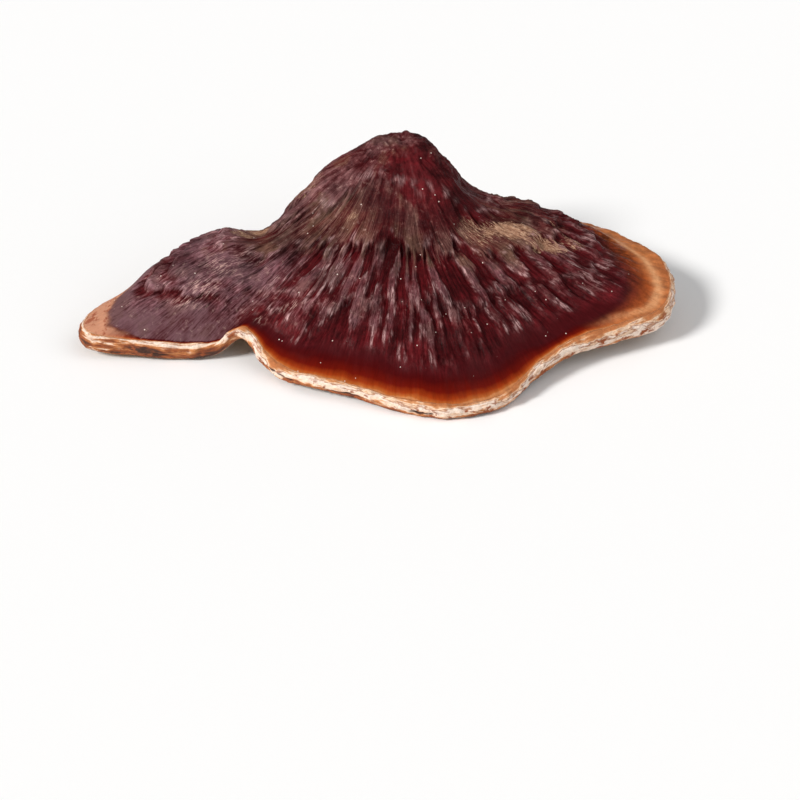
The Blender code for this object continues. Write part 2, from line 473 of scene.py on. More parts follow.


# how high the wrinkles are here, how much of a crest this is, and how much of the flank where a painted
# glint runs
def wrinkles(spoke, share, place):
    start = 0.0
    height = crest = line = 0.0
    blend = relief["wrinkleBlend"]
    for i, (end, spacing, tall, breadth) in enumerate(relief["wrinkles"]):
        part = ease(start - blend, start + blend, place) if start else 1.0
        if end < 1:
            part *= 1 - ease(end - blend, end + blend, place)
        start = end
        if not part:
            continue
        wave = spoke.wander(relief["waveSize"], share * relief["waveTurns"] + i) * relief["waviness"]
        depth = share / relief["wrinkleLength"] + relief["wrinkleSeed"] * i
        point = spoke.noisePoint(spacing / 2, depth)
        value = noise.noise(point + spoke.tangent * wave * 2 / spacing)
        value += relief["forks"] * noise.noise(point * relief["forkSize"]) + breadth
        rounded = ease(-relief["crestSoftness"], relief["crestSoftness"], value)
        peak = ease(0.0, relief["crestPeakWidth"], value)
        crest += part * (rounded + relief["crestPeak"] * (peak - rounded))
        line += part * math.exp(-((value - relief["flankPlace"]) / relief["flankWidth"]) ** 2)
        height += part * tall * min(1.0, relief["wrinkleGrowth"] * share) * (rounded - 0.5)
    return height, crest, line


# each ledge swells outwards and ends in a step, under which shade is painted into the crust
def ledgesAt(spoke, place):
    height = below = lip = 0.0
    fade = relief["ledgeFade"]
    for i, (edge, tall, soft, dark, start, end) in enumerate(relief["ledges"]):
        part = hump(start - fade, start, end, end + fade, spoke.angle)
        wavy = scallopAt(spoke, relief["ledgeSeed"] * i) * ease(*relief["scallopFrom"], edge)
        away = place + wavy - edge
        step = ease(-soft, soft, away)
        foot = step * (1 - ease(soft, relief["ledgeFoot"], away))
        swell = ease(-relief["ledgeSwell"], -soft, away) * (1 - step)
        height += part * tall * (swell - relief["footDepth"] * foot)
        # painted shade in the foot below the step
        below += part * dark * foot
        lip += part * min(1.0, tall) * math.exp(-((away + soft) / (relief["lipWidth"] * soft)) ** 2)
    return height, min(1.0, below), lip


def creaseDepth(spoke, point):
    total = 0.0
    for x, y, across, down, depth in relief["creases"]:
        dx, dy = point.x - x, point.y - y
        onSpoke = dx * spoke.sin - dy * spoke.cos
        offSpoke = dx * spoke.cos + dy * spoke.sin
        total += depth * math.exp(-(offSpoke / across) ** 2 - (onSpoke / down) ** 2)
    return total


def moundsAt(point):
    total = 0.0
    for x, y, size, tall in relief["mounds"]:
        total += tall * math.exp(-((point.x - x) ** 2 + (point.y - y) ** 2) / size**2)
    return total


def edgeWave(spoke):
    total = 0.0
    for shorter, weight, seed in relief["edgeWaves"]:
        total += weight * spoke.wander(relief["edgeWaveLength"] / shorter, seed)
    return relief["edgeWaveHeight"] * total


def crustRelief(spoke, share, point):
    place = pulledIn(spoke, share)
    scallop = scallopAt(spoke, relief["smoothSeed"])
    smooth = ease(*relief["smoothFrom"], place + scallop)
    rough = ease(*relief["wrinkledFrom"], share) * (1 - smooth)
    rough *= 1 - relief["leftCalm"] * spoke.left * ease(*relief["leftCalmFrom"], share)
    height, crest, line = wrinkles(spoke, share, place)
    place -= relief["crestReach"] * (crest - 0.5) * rough * ease(*relief["crestReachFrom"], share)
    fine = spoke.wander(relief["fineSpacing"] / 2, share * relief["fineTurns"] + relief["fineSeed"])
    height = rough * (height + relief["fineHeight"] * fine * ease(*relief["fineFrom"], share))

    pebble = noiseAt(point, relief["pebbleSize"])
    detail = noise.noise(point * relief["pebbleDetail"] / relief["pebbleSize"])
    pebble += relief["pebbleDetailShare"] * detail
    pebbly = 1 - (1 - relief["pebblesPastKnob"]) * ease(*relief["knobEnd"], share)
    height += relief["pebbleHeight"] * pebble * pebbly * (1 - relief["pebbleLoss"] * smooth)
    lump, grain = noiseAt(point, relief["lumpSize"]), noiseAt(point, relief["grainSize"])
    height += relief["lumpHeight"] * lump * (1 - relief["lumpLoss"] * smooth)
    height += relief["grainHeight"] * grain * (1 - relief["grainLoss"] * smooth)
    steps, below, lip = ledgesAt(spoke, place)
    height += steps - creaseDepth(spoke, point)
    height += (moundsAt(point) - relief["settle"]) * (1 - share ** relief["settleFade"])
    height += edgeWave(spoke) * share ** relief["edgeWaveFade"]

    crest = crest * rough + (0.5 + relief["pebbleCrests"] * pebble) * (1 - rough) * (1 - smooth)
    onLeft = hump(*film["leftAngles"], spoke.angle) * hump(*film["leftPlaces"], share)
    away = place + scallop
    found = {
        "crest": crest,
        "film": filmAt(spoke, share, point, away, crest, below, smooth, onLeft),
        "below": below,
        "tips": paintedGlintsAt(point, away, crest, line, fine, lip * (1 - smooth), onLeft),
        "place": place,
        "smooth": smooth,
    }
    found.update(crustMarks(spoke, share, point))
    return height, found


def filmAt(spoke, share, point, away, crest, below, smooth, onLeft):
    cover, onCrests = between(film["shares"], away)
    cover += film["cloudStrength"] * noiseAt(point, film["cloudSize"], film["cloudShift"]) * (1 - smooth)
    for x, y, length, width, bare in film["barePatches"]:
        cover -= bare * math.exp(-((point.x - x) / length) ** 2 - ((point.y - y) / width) ** 2)
    cover -= film["rightBare"] * spoke.right * ease(*film["rightBareFrom"], share)
    total = cover * (1 - onCrests * (1 - crest)) * (1 - film["underLedges"] * below)
    left = film["leftShare"] + film["leftClouds"] * noiseAt(point, film["leftCloudSize"])
    left -= film["leftUnderLedges"] * below
    return total + (left - total) * onLeft


# painted glints along the crests' ends and flanks and on the ledges' lips
def paintedGlintsAt(point, away, crest, line, fine, lip, onLeft):
    ends = hump(*paintedGlints["endPlaces"], away) * ease(*paintedGlints["endBreaks"], fine)
    ends *= ease(*paintedGlints["endCrests"], crest)
    broken = noiseAt(point, paintedGlints["flankBreakSize"], paintedGlints["flankShift"])
    flanks = line * hump(*paintedGlints["flankPlaces"], away) * ease(*paintedGlints["flankBreaks"], broken)
    broken = noiseAt(point, paintedGlints["lipBreakSize"], paintedGlints["lipShift"])
    lips = paintedGlints["lipStrength"] * lip * ease(*paintedGlints["lipBreaks"], broken)
    return max(min(1.0, ends + flanks) * (1 - paintedGlints["leftLoss"] * onLeft), lips)


def patchesAt(patches, point):
    total = 0.0
    ragged = patchEdge["raggedness"] * noiseAt(point, patchEdge["size"])
    for x, y, length, width, strength in patches:
        away = math.hypot((point.x - x) / length, (point.y - y) / width)
        total = max(total, strength * (1 - ease(*patchEdge["fade"], away + ragged)))
    return total


def crustMarks(spoke, share, point):
    inward = (1 - share) * spoke.inner
    ringPlace, ringStrength = along(paleRing, spoke.angle)
    ringPlace += ringShape["wander"] * spoke.wander(ringShape["wanderSize"], ringShape["seed"])
    ragged = tipPatch["raggedness"] * noiseAt(point, tipPatch["size"])
    tip = 1 - ease(*tipPatch["fade"], inward / spoke.band + ragged)
    return {
        "band": min(pastBand, inward / spoke.band),
        "dust": patchesAt(tanDust, point),
        "scuff": patchesAt(scuffs, point),
        "ring": ringStrength * math.exp(-((inward - ringPlace) / ringShape["width"]) ** 2),
        "tip": tip * hump(*tipPatch["angles"], spoke.angle),
    }


# relief of the margin, two layers of flesh with an open gap that comes and goes between them
flesh = {
    "gapDepth": 1.1,
    "gapPlace": 0.60,
    "gapWidth": 0.10,
    "gapWander": 0.16,
    "gapWanderSize": 8.0,
    "gapWanderSeed": 1.0,
    "gapLength": 11.0,
    "gapSeed": 6.0,
    "gapOpens": (-0.15, 0.25),
    "rightClosed": 0.75,
    "flakeHeight": 0.35,
    "flakeLength": 5.0,
    "flakeTurns": 3.2,
    "flakeWidth": 0.12,
    "roughness": [(0.25, 1.3), (0.12, 0.5)],            # height and size
    "toneNoise": [(0.28, 8.0, 2.2), (0.10, 2.5, 7.1)],  # strength, size, seed
    "mostTone": 0.82,
}


def edgeRelief(spoke, share, point):
    opened = ease(*flesh["gapOpens"], spoke.wander(flesh["gapLength"], flesh["gapSeed"]))
    opened *= 1 - flesh["rightClosed"] * spoke.right
    wander = flesh["gapWander"] * spoke.wander(flesh["gapWanderSize"], flesh["gapWanderSeed"])
    middle = flesh["gapPlace"] + wander
    gap = opened * math.exp(-((share - middle) / flesh["gapWidth"]) ** 2)
    flake = spoke.wander(flesh["flakeLength"], share * flesh["flakeTurns"])
    flaky = math.exp(-(flake / flesh["flakeWidth"]) ** 2)
    height = flesh["flakeHeight"] * (flaky - 0.5) - flesh["gapDepth"] * gap
    for tall, size in flesh["roughness"]:
        height += tall * noiseAt(point, size)
    height = height * math.sin(math.pi * share) + edgeWave(spoke) * (1 - share)
    tone = min(flesh["mostTone"], share * along(fleshTurn, spoke.angle)[0])
    for strength, size, seed in flesh["toneNoise"]:
        tone += strength * spoke.wander(size, seed)
    return height, {"crest": flaky, "gap": gap, "tone": tone}


under = {
    "poreWaveHeight": 0.5,
    "poreWaveSize": 12.0,
    "poreZoneHeight": 0.25,
    "poreZoneTurns": 26,
    "poreZoneWander": 2.5,
    "poreZoneSize": 18.0,
    "poreZoneSeed": 2.0,
    "poreGrainHeight": 0.06,
    "poreGrainSize": 0.8,
    "poreFrom": (0.0, 0.08),
    "poreFade": 8,
    "ribHeight": 0.5,
    "ribCount": 7,
    "ribLength": 9,
    "ribWidth": 0.25,
    "ribFrom": (0.0, 0.25),
    "ribFoot": (0.9, 1.0),
    "ribLossAtFoot": 0.6,
    "stemLumpSize": 7,
    "poresOnStem": (0.10, 0.36),
    "poreBorder": 0.12,
    "poreBorderSize": 3.0,
    "stemPlace": 0.7,           # how far out the crust is that the stem looks like
    "cutHeight": 0.12,
    "cutSize": 1.3,
    "cutFrom": (0.0, 0.1),
}
# what the crust's material reads below the margin
underMarks = {"band": pastBand, "film": 0.35}


def poreRelief(spoke, share, point):
    wave = under["poreWaveHeight"] * noiseAt(point, under["poreWaveSize"])
    wander = spoke.wander(under["poreZoneSize"], under["poreZoneSeed"])
    turn = share * under["poreZoneTurns"] + under["poreZoneWander"] * wander
    zone = under["poreZoneHeight"] * math.sin(turn)
    grain = under["poreGrainHeight"] * noiseAt(point, under["poreGrainSize"])
    fade = (1 - share ** under["poreFade"]) * ease(*under["poreFrom"], share)
    return (wave + zone + grain) * fade, {"nearPores": 1.0, "band": pastBand}


def stemRelief(spoke, share, point):
    count = under["ribCount"]
    rib = noise.noise(Vector((spoke.sin * count, spoke.cos * count, point.z / under["ribLength"])))
    crest = math.exp(-(rib / under["ribWidth"]) ** 2)
    height = under["ribHeight"] * (crest - 0.5 + noiseAt(point, under["stemLumpSize"]))
    height *= ease(*under["ribFrom"], share)
    height *= 1 - under["ribLossAtFoot"] * ease(*under["ribFoot"], share)
    border = under["poreBorder"] * noiseAt(point, under["poreBorderSize"])
    nearPores = 1 - ease(*under["poresOnStem"], share + border)
    found = {"crest": crest, "place": under["stemPlace"], "nearPores": nearPores}
    return height, {**found, **underMarks}


def cutRelief(spoke, share, point):
    fade = ease(*under["cutFrom"], share)
    return under["cutHeight"] * noiseAt(point, under["cutSize"]) * fade, dict(underMarks)


reliefs = {
    "crust": crustRelief,
    "edge": edgeRelief,
    "pores": poreRelief,
    "stem": stemRelief,
    "cut": cutRelief,
}

# what the materials read at every point
marks = (
    "section", "share", "side", "place", "crest", "film", "below", "tips", "smooth", "dust",
    "scuff", "band", "ring", "tip", "gap", "tone", "nearPores",
)


# one ball, pressed into the mushroom; each zone has its own material
def makeFruitingBody(materials):
    spokes, rings = form["spokes"], form["rings"]
    bm = bmesh.new()
    bmesh.ops.create_uvsphere(bm, u_segments=spokes, v_segments=rings, radius=1.0)
    layers = {name: bm.verts.layers.float.new(name) for name in marks}
    grain = bm.verts.layers.float_vector.new("grain")
    angles, marginLength = evenAngles(spokes)
    fan = [Spoke(angles[k], 2 * math.pi * k / spokes, marginLength) for k in range(spokes)]
    placed = []
    for vert in bm.verts:
        section = math.acos(max(-1.0, min(1.0, vert.co.z))) / math.pi
        spoke = fan[round(math.atan2(vert.co.y, vert.co.x) / (2 * math.pi) * spokes) % spokes]
        zone, share, shape = zoneOf(section)
        point = shape(spoke, share)
        vert.co = (point + Vector((0, 0, form["lift"]))) * mm
        vert[layers["section"]] = section
        placed.append((vert, spoke, zone, share, point))
    bmesh.ops.recalc_face_normals(bm, faces=bm.faces[:])
    if bm.calc_volume(signed=True) < 0:
        bmesh.ops.reverse_faces(bm, faces=bm.faces[:])
    bm.normal_update()
    print("form pressed,", len(bm.verts), "points")

    moves = []
    for vert, spoke, zone, share, point in placed:
        height, found = reliefs[zone](spoke, share, point)
        moves.append(vert.normal * height * mm)
        found.update(share=share, side=spoke.angle)
        for name, value in found.items():
            vert[layers[name]] = value
        vert[grain] = spoke.loop + Vector((0, 0, share * spoke.inner))
    for (vert, *_), move in zip(placed, moves):
        vert.co += move
        vert.co.z = max(vert.co.z, 0.0)

    order = [zone[0] for zone in zones]
    for face in bm.faces:
        face.smooth = True
        section = sum(vert[layers["section"]] for vert in face.verts) / len(face.verts)
        face.material_index = order.index(zoneOf(section)[0])
    mesh = bpy.data.meshes.new("fruitingBody")
    bm.to_mesh(mesh)
    bm.free()
    for name in order:
        mesh.materials.append(materials[name])
    piece = bpy.data.objects.new("fruitingBody", mesh)
    bpy.context.scene.collection.objects.link(piece)
    return piece


def fillInputs(tree, node, inputs):
    for name, value in inputs.items():
        if isinstance(value, bpy.types.NodeSocket):
            tree.links.new(value, node.inputs[name])
        else:
            node.inputs[name].default_value = value


def addNode(tree, kind, inputs=None, **settings):
    node = tree.nodes.new(kind)
    for name, value in settings.items():
        setattr(node, name, value)
    fillInputs(tree, node, inputs or {})
    return node


def newMaterial(name):
    material = bpy.data.materials.new(name)
    material.use_nodes = True
    tree = material.node_tree
    return material, tree, tree.nodes["Principled BSDF"]


def attribute(tree, name, output="Fac"):
    return addNode(tree, "ShaderNodeAttribute", attribute_name=name).outputs[output]


def objectPlace(tree):
    return addNode(tree, "ShaderNodeTexCoord").outputs["Object"]


def noiseTexture(tree, vector, scale, detail, roughness):
    inputs = {"Vector": vector, "Scale": scale, "Detail": detail, "Roughness": roughness}
    return addNode(tree, "ShaderNodeTexNoise", inputs).outputs["Fac"]


# noise on the grain, which runs along the margin in x and y and down the spokes in z
def grainTexture(tree, marginScale, downScale, detail, roughness):
    scale = (marginScale, marginScale, downScale)
    inputs = {"Vector": attribute(tree, "grain", "Vector"), "Scale": scale}
    stretched = addNode(tree, "ShaderNodeMapping", inputs).outputs[0]
    return noiseTexture(tree, stretched, 1.0, detail, roughness)


def calc(tree, operation, a, b):
    return addNode(tree, "ShaderNodeMath", {0: a, 1: b}, operation=operation).outputs[0]


def times(tree, a, b):
    return calc(tree, "MULTIPLY", a, b)


# two values added up, each with its weight
def weigh(tree, first, firstWeight, second, secondWeight):
    return calc(tree, "ADD", times(tree, first, firstWeight), times(tree, second, secondWeight))


def spread(tree, value, low, high, toLow=0.0, toHigh=1.0):
    inputs = {"Value": value, "From Min": low, "From Max": high, "To Min": toLow, "To Max": toHigh}
    return addNode(tree, "ShaderNodeMapRange", inputs, interpolation_type="SMOOTHSTEP").outputs[0]


def blendColour(tree, share, first, second, blend="MIX"):
    inputs = {0: share, 6: first, 7: second}
    return addNode(tree, "ShaderNodeMix", inputs, data_type="RGBA", blend_type=blend).outputs[2]


def colourRamp(tree, value, stops):
    node = addNode(tree, "ShaderNodeValToRGB", {"Fac": value})
    ramp = node.color_ramp
    while len(ramp.elements) < len(stops):
        ramp.elements.new(0.5)
    for element, (place, colour) in zip(ramp.elements, stops):
        element.position = place
        element.color = (*colour, 1.0)
    return node.outputs["Color"]


noiseRange = (0.34, 0.66)       # nearly all of a noise texture's values lie in it


# turns noise into a grey that lies between two brightnesses
def shade(tree, value, low, high):
    grey = spread(tree, value, *noiseRange, low, high)
    return addNode(tree, "ShaderNodeCombineColor", {0: grey, 1: grey, 2: grey}).outputs[0]


def finishShader(tree, shader, look, colour, roughness, height):
    strength, distance = look["bump"]
    inputs = {"Height": height, "Strength": strength, "Distance": distance * mm}
    normal = addNode(tree, "ShaderNodeBump", inputs).outputs["Normal"]
    fillInputs(tree, shader, {"Base Color": colour, "Roughness": roughness, "Normal": normal})


# a film is thick where amount is high and breaks up into specks where it is low
def coverage(tree, amount, texture, reach, soft):
    raised = times(tree, calc(tree, "SUBTRACT", amount, 0.5), reach)
    return spread(tree, calc(tree, "ADD", texture, raised), 0.5 - soft, 0.5 + soft)


colours = {
    # darkest maroon: the lacquer's own darker tone, and painted shade in the hollows between crests and
    # below the ledges
    "darkMaroonAndShade": (0.046, 0.0024, 0.0036),
    "maroon": (0.076, 0.0064, 0.0084),
    "filmKnob": (0.185, 0.086, 0.086),
    "filmCollar": (0.160, 0.084, 0.068),
    "filmMiddle": (0.142, 0.056, 0.062),
    "filmOuter": (0.135, 0.060, 0.066),
    "filmLeft": (0.165, 0.080, 0.092),
    "filmBrown": (0.100, 0.052, 0.036),
    # painted glint: pale highlight lines on the crests and ledge lips
    "grain": (0.42, 0.27, 0.23),
    "glintColour": (0.40, 0.250, 0.245),
    "tanDust": (0.36, 0.190, 0.115),
    "paleDust": (0.62, 0.400, 0.270),
    "fleck": (0.80, 0.66, 0.58),
    "paleRing": (0.70, 0.34, 0.160),
    "tipTan": (0.54, 0.25, 0.150),
    "tipRust": (0.27, 0.050, 0.018),
    "fleshRust": (0.30, 0.072, 0.018),
    # painted shade inside the open gap of the margin
    "gapShade": (0.050, 0.018, 0.010),
    "pores": (0.52, 0.34, 0.19),
    "poresDark": (0.37, 0.21, 0.105),
    "poreHole": (0.20, 0.095, 0.040),
    "cork": (0.30, 0.150, 0.065),
    "corkDark": (0.12, 0.045, 0.018),
    "white": (1.0, 1.0, 1.0),
}
# from the margin inwards
frontStops = [
    (0.00, (0.52, 0.200, 0.075)),
    (0.05, (0.42, 0.105, 0.022)),
    (0.19, (0.28, 0.033, 0.004)),
    (0.42, (0.125, 0.0045, 0.0010)),
    (0.80, (0.062, 0.0014, 0.0016)),
]
rightStops = [
    (0.00, (0.43, 0.135, 0.045)),
    (0.20, (0.50, 0.170, 0.056)),
    (0.45, (0.34, 0.075, 0.018)),
    (0.75, (0.17, 0.028, 0.012)),
    (1.00, (0.070, 0.010, 0.008)),
]
# from the margin's upper side down
fleshStops = [
    (0.00, (0.46, 0.150, 0.045)),
    (0.11, (0.60, 0.260, 0.105)),
    (0.19, (0.86, 0.63, 0.450)),
    (0.27, (0.40, 0.16, 0.075)),
    (0.34, (0.88, 0.72, 0.610)),
    (0.54, (0.84, 0.60, 0.440)),
    (0.64, (0.54, 0.20, 0.062)),
    (0.82, (0.27, 0.062, 0.015)),
    (1.00, (0.060, 0.020, 0.010)),
]


def rgba(name):
    return (*colours[name], 1.0)


# in fours, the first two values of what is read turn into the last two
crustLook = {
    # on the grain: scale along the margin, scale down the spokes, detail, roughness
    "streaks": (1.0, 0.16, 5.0, 0.66),
    "fibres": (1.7, 0.50, 4.0, 0.66),
    "grit": (1.6, 0.7, 5.0, 0.75),
    # all round: scale, detail, roughness
    "specks": (700.0, 5.0, 0.68),
    "cloud": (110.0, 3.0, 0.55),
    "mottles": (380.0, 4.0, 0.7),
    "tipRust": (360.0, 4.0, 0.65),
    "blotches": (85.0, 5.0, 0.68),
    "streakShare": 0.45,
    "speckShare": 0.35,
    "cloudShare": 0.45,
    "mottleBase": 0.10,
    # the streaks begin outside the knob's top and don't quite hide the mottling
    "streaksFrom": (0.06, 0.40, 0.0, 0.70),
    # painted shade in the hollows between crests and below the ledges, added to the lacquer's own uneven
    # tone
    "valleyShade": 0.5,
    "textureTone": 0.9,
    "ledgeShadeStrength": 0.25,
    "maroonTones": (0.20, 1.0),
    # where one colour of the film turns into the next
    "filmTurns": [((0.36, 0.44), "filmMiddle"), ((0.60, 0.70), "filmOuter")],
    "collarFilm": (0.17, 0.24),
    "leftAngles": (-44.0, -56.0),
    "leftFrom": (0.45, 0.60),
    "brownClouds": (0.46, 0.60),
    "brownPlaces": (0.38, 0.50, 1.0, 0.35),
    "filmReach": (0.42, 0.13),
    "filmClouds": (0.30, 0.52, 0.45, 0.90),
    "fibreBreaks": (0.42, 0.58, 0.15, 0.85),
    "scuffBreaks": (0.50, 0.62),
    "bandWander": 0.5,
    "bandEnd": (1.2, 0.75),
    "rightFrom": (48.0, 66.0),
    "rightTo": (125.0, 100.0),
    "mottleTones": (0.66, 1.22),
    "mottling": 0.8,
    "ringBreaks": (0.35, 0.60, 0.55, 1.0),
    "tipRustBreaks": (0.49, 0.62, 0.0, 0.75),
    "tipRustAngles": (-84.0, -74.0, 0.6, 1.0),
    "grainBreaks": (0.57, 0.70),
    "grainStrength": 0.55,
    "blotchTones": (0.66, 1.40),
    "streakTones": (0.30, 1.80),
    "smoothStreaks": 0.8,
    "dustReach": (0.36, 0.10),
    "dustFrom": (0.02, 0.35),
    "dustPale": (0.50, 0.64),
    "dustStrength": 0.85,
    "fleckScale": 330.0,
    "fleckSize": (0.075, 0.045),
    "fleckClouds": (0.49, 0.53),
    "roughness": (0.0, 0.8, 0.32, 0.70),    # from bare lacquer to dust
    "filmRoughness": 0.8,
    "specular": 0.06,
    "speckBump": 0.3,
    "bumpOnSmooth": 0.15,
    "bump": (0.8, 0.8),                     # strength, distance in millimetres
}


def crustMaterial():
    material, tree, shader = newMaterial("lacqueredCrust")
    look = crustLook
    place = objectPlace(tree)
    share, radial, side = (attribute(tree, name) for name in ("share", "place", "side"))
    filmMark, dustMark, smooth = (attribute(tree, name) for name in ("film", "dust", "smooth"))

    # streaks run down the spokes and give way to even specks on top of the knob
    streaks, fibres, grit = (grainTexture(tree, *look[name]) for name in ("streaks", "fibres", "grit"))
    specks, cloud = (noiseTexture(tree, place, *look[name]) for name in ("specks", "cloud"))
    strands = weigh(tree, streaks, look["streakShare"], fibres, 1 - look["streakShare"])
    mottle = weigh(tree, specks, look["speckShare"], cloud, look["cloudShare"])
    mottle = calc(tree, "ADD", mottle, look["mottleBase"])
    streaky = spread(tree, share, *look["streaksFrom"])
    texture = addNode(tree, "ShaderNodeMix", {0: streaky, 2: mottle, 3: strands}).outputs[0]

    # painted shade: darker in the hollows between crests and below the ledges, over the lacquer's own
    # uneven tone
    tone = weigh(tree, attribute(tree, "crest"), look["valleyShade"], texture, look["textureTone"])
    below = times(tree, attribute(tree, "below"), look["ledgeShadeStrength"])
    tone = calc(tree, "SUBTRACT", tone, below)
    colour = blendColour(tree, spread(tree, tone, *look["maroonTones"]), rgba("darkMaroonAndShade"), rgba("maroon"))

    collar = spread(tree, radial, *look["collarFilm"])
    filmColour = blendColour(tree, collar, rgba("filmKnob"), rgba("filmCollar"))
    for places, name in look["filmTurns"]:
        filmColour = blendColour(tree, spread(tree, radial, *places), filmColour, rgba(name))
    onLeft = times(tree, spread(tree, side, *look["leftAngles"]), spread(tree, share, *look["leftFrom"]))
    filmColour = blendColour(tree, onLeft, filmColour, rgba("filmLeft"))
    brownPlaces = spread(tree, radial, *look["brownPlaces"])
    brown = times(tree, spread(tree, cloud, *look["brownClouds"]), brownPlaces)
    filmColour = blendColour(tree, brown, filmColour, rgba("filmBrown"))
    filmed = coverage(tree, filmMark, texture, *look["filmReach"])
    filmed = times(tree, filmed, spread(tree, cloud, *look["filmClouds"]))
    colour = blendColour(tree, filmed, colour, filmColour)
    # painted glints on the crests and ledge lips
    glintCover = times(tree, attribute(tree, "tips"), spread(tree, fibres, *look["fibreBreaks"]))
    colour = blendColour(tree, glintCover, colour, rgba("glintColour"))
    scuffed = times(tree, attribute(tree, "scuff"), spread(tree, fibres, *look["scuffBreaks"]))
    colour = blendColour(tree, scuffed, colour, rgba("grain"))

    # the smooth band inside the margin
    shift = times(tree, calc(tree, "SUBTRACT", cloud, 0.5), look["bandWander"])
    band = calc(tree, "ADD", attribute(tree, "band"), shift)
    onRight = spread(tree, side, *look["rightFrom"])
    onRight = times(tree, onRight, spread(tree, side, *look["rightTo"]))
    mottled = shade(tree, noiseTexture(tree, place, *look["mottles"]), *look["mottleTones"])
    rightBand = colourRamp(tree, band, rightStops)
    rightBand = blendColour(tree, look["mottling"], rightBand, mottled, "MULTIPLY")
    banded = blendColour(tree, onRight, colourRamp(tree, band, frontStops), rightBand)
    colour = blendColour(tree, spread(tree, band, *look["bandEnd"]), colour, banded)
    ring = times(tree, attribute(tree, "ring"), spread(tree, specks, *look["ringBreaks"]))
    colour = blendColour(tree, ring, colour, rgba("paleRing"))
    rusty = spread(tree, noiseTexture(tree, place, *look["tipRust"]), *look["tipRustBreaks"])
    rusty = times(tree, rusty, spread(tree, side, *look["tipRustAngles"]))
    tip = blendColour(tree, rusty, rgba("tipTan"), rgba("tipRust"))
    colour = blendColour(tree, attribute(tree, "tip"), colour, tip)

    # pale grains in the film, and light and dark all over
    grains = times(tree, spread(tree, specks, *look["grainBreaks"]), filmMark)
    colour = blendColour(tree, times(tree, grains, look["grainStrength"]), colour, rgba("grain"))
    blotches = shade(tree, noiseTexture(tree, place, *look["blotches"]), *look["blotchTones"])
    blotches = blendColour(tree, smooth, blotches, rgba("white"))
    colour = blendColour(tree, 1.0, colour, blotches, "MULTIPLY")
    streaked = shade(tree, texture, *look["streakTones"])
    streaked = blendColour(tree, times(tree, smooth, look["smoothStreaks"]), streaked, rgba("white"))
    colour = blendColour(tree, 1.0, colour, streaked, "MULTIPLY")

    # dust, the rim of the pore face on the stem, and pale flecks
    dusty = coverage(tree, dustMark, grit, *look["dustReach"])
    dusty = times(tree, dusty, spread(tree, dustMark, *look["dustFrom"]))
    paleDust = spread(tree, grit, *look["dustPale"])
    dust = blendColour(tree, paleDust, rgba("tanDust"), rgba("paleDust"))
    colour = blendColour(tree, times(tree, dusty, look["dustStrength"]), colour, dust)
    colour = blendColour(tree, attribute(tree, "nearPores"), colour, rgba("poresDark"))
    inputs = {"Vector": place, "Scale": look["fleckScale"]}
    dots = addNode(tree, "ShaderNodeTexVoronoi", inputs).outputs["Distance"]
    flecks = spread(tree, dots, *look["fleckSize"])
    flecks = times(tree, flecks, spread(tree, cloud, *look["fleckClouds"]))
    colour = blendColour(tree, flecks, colour, rgba("fleck"))

    matt = calc(tree, "MAXIMUM", dusty, times(tree, filmed, look["filmRoughness"]))
    roughness = spread(tree, matt, *look["roughness"])
    shader.inputs["Specular IOR Level"].default_value = look["specular"]
    height = weigh(tree, texture, 1 - look["speckBump"], specks, look["speckBump"])
    height = times(tree, height, spread(tree, smooth, 0.0, 1.0, 1.0, look["bumpOnSmooth"]))
    finishShader(tree, shader, look, colour, roughness, height)
    return material


fleshLook = {
    # on the grain: scale along the margin, scale down the spokes, detail, roughness
    "layers": (0.15, 0.085, 3.0, 0.60),
    "cloud": (0.28, 0.05, 4.0, 0.6),
    "fine": (1100.0, 3.0, 0.7),
    "wear": (-52.0, -62.0, 0.90, 1.60),     # the left margin is the most weathered
    "rustClouds": (0.53, 0.62),
    "rustFrom": (0.15, 0.45),
    # where painted shade darkens the open gap
    "gapShadeFrom": (0.45, 0.85),
    "fineTones": (0.86, 1.12),
    "roughness": 0.82,
    "fineBump": 0.5,
    "bump": (0.6, 0.7),
}


def edgeMaterial():
    material, tree, shader = newMaterial("marginFlesh")
    look = fleshLook
    layers, cloud = (grainTexture(tree, *look[name]) for name in ("layers", "cloud"))
    fine = noiseTexture(tree, objectPlace(tree), *look["fine"])
    wear = spread(tree, attribute(tree, "side"), *look["wear"])
    shift = times(tree, calc(tree, "SUBTRACT", layers, 0.5), wear)
    colour = colourRamp(tree, calc(tree, "ADD", attribute(tree, "tone"), shift), fleshStops)
    rustFrom = spread(tree, attribute(tree, "share"), *look["rustFrom"])
    rust = times(tree, spread(tree, cloud, *look["rustClouds"]), rustFrom)
    colour = blendColour(tree, rust, colour, rgba("fleshRust"))
    # painted shade inside the open gap between the layers of flesh
    gap = spread(tree, attribute(tree, "gap"), *look["gapShadeFrom"])
    colour = blendColour(tree, gap, colour, rgba("gapShade"))
    colour = blendColour(tree, 1.0, colour, shade(tree, fine, *look["fineTones"]), "MULTIPLY")
    height = calc(tree, "ADD", layers, times(tree, fine, look["fineBump"]))
    finishShader(tree, shader, look, colour, look["roughness"], height)
    return material


poreLook = {
    "cloud": (90.0, 5.0, 0.62),
    "poreScale": 2400.0,
    "poreEdge": (0.30, 0.12),
    "darkerAtStem": 0.15,
    "darkFrom": (0.36, 0.80),
    "holeStrength": 0.55,
    "roughness": 0.9,
    "bump": (0.6, -0.2),
}


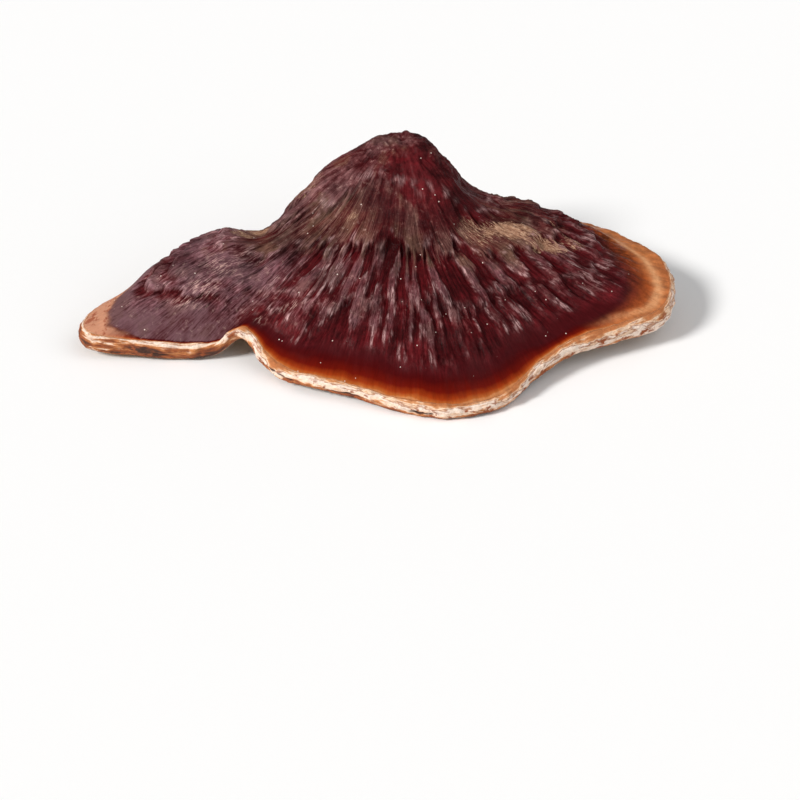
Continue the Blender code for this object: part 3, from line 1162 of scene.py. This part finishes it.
def poreMaterial():
    material, tree, shader = newMaterial("poreFace")
    look = poreLook
    place = objectPlace(tree)
    cloud = noiseTexture(tree, place, *look["cloud"])
    inputs = {"Vector": place, "Scale": look["poreScale"]}
    pores = addNode(tree, "ShaderNodeTexVoronoi", inputs).outputs["Distance"]
    hole = spread(tree, pores, *look["poreEdge"])
    dark = calc(tree, "ADD", cloud, times(tree, attribute(tree, "share"), look["darkerAtStem"]))
    colour = blendColour(tree, spread(tree, dark, *look["darkFrom"]), rgba("pores"), rgba("poresDark"))
    colour = blendColour(tree, times(tree, hole, look["holeStrength"]), colour, rgba("poreHole"))
    finishShader(tree, shader, look, colour, look["roughness"], hole)
    return material


cutLook = {
    "fibres": (700.0, 4.0, 0.65),
    "ringScale": 90.0,
    "ringWander": 4.0,
    "ringDetail": 3.0,
    "ringShare": 0.07,
    "tones": (0.25, 0.75),
    "roughness": 0.92,
    "bump": (0.5, 0.4),
}


def cutMaterial():
    material, tree, shader = newMaterial("corkyCut")
    look = cutLook
    place = objectPlace(tree)
    fibres = noiseTexture(tree, place, *look["fibres"])
    inputs = {
        "Vector": place,
        "Scale": look["ringScale"],
        "Distortion": look["ringWander"],
        "Detail": look["ringDetail"],
    }
    waves = addNode(tree, "ShaderNodeTexWave", inputs, wave_type="RINGS", rings_direction="Z")
    rings = waves.outputs["Fac"]
    mixed = weigh(tree, rings, look["ringShare"], fibres, 1 - look["ringShare"])
    colour = blendColour(tree, spread(tree, mixed, *look["tones"]), rgba("corkDark"), rgba("cork"))
    finishShader(tree, shader, look, colour, look["roughness"], mixed)
    return material


crust = crustMaterial()
materials = {
    "crust": crust,
    "edge": edgeMaterial(),
    "pores": poreMaterial(),
    "stem": crust,
    "cut": cutMaterial(),
}
print("materials ready")
fruitingBody = makeFruitingBody(materials)
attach(fruitingBody, "root")
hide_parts("fruiting_body")
print("fruiting body done,", len(fruitingBody.data.polygons), "faces")

studio = {
    "floorSize": 8.0,
    "floorDrop": 0.05,      # millimetres below the object
    "floorColour": (0.97, 0.97, 0.97, 1.0),
    "floorRoughness": 0.9,
    "worldColour": (1.0, 1.0, 1.0, 1.0),
    "worldStrength": 0.30,
    # where the light comes from, strength, softness in degrees, colour
    "suns": [
        ((-0.68, -0.42, 0.60), 2.9, 15.0, (1.0, 0.985, 0.965)),
        ((0.60, -0.35, 0.70), 0.8, 60.0, (0.97, 0.985, 1.0)),
    ],
}


def makeStudio():
    bm = bmesh.new()
    bmesh.ops.create_grid(bm, x_segments=1, y_segments=1, size=studio["floorSize"] / 2)
    mesh = bpy.data.meshes.new("floor")
    bm.to_mesh(mesh)
    bm.free()
    floor = bpy.data.objects.new("floor", mesh)
    floor.location.z = -studio["floorDrop"] * mm
    bpy.context.scene.collection.objects.link(floor)
    material, tree, shader = newMaterial("paleFloor")
    inputs = {"Base Color": studio["floorColour"], "Roughness": studio["floorRoughness"]}
    fillInputs(tree, shader, inputs)
    mesh.materials.append(material)

    world = bpy.data.worlds.new("softWorld")
    world.use_nodes = True
    inputs = {"Color": studio["worldColour"], "Strength": studio["worldStrength"]}
    fillInputs(world.node_tree, world.node_tree.nodes["Background"], inputs)
    bpy.context.scene.world = world
    for i, (place, strength, softness, colour) in enumerate(studio["suns"]):
        data = bpy.data.lights.new(f"softSun{i}", "SUN")
        data.energy = strength
        data.angle = math.radians(softness)
        data.color = colour
        sun = bpy.data.objects.new(f"softSun{i}", data)
        sun.location = place
        sun.rotation_euler = Vector(place).to_track_quat("Z", "Y").to_euler()
        bpy.context.scene.collection.objects.link(sun)
    bpy.context.scene.view_settings.view_transform = "Standard"


makeStudio()
print("studio ready")
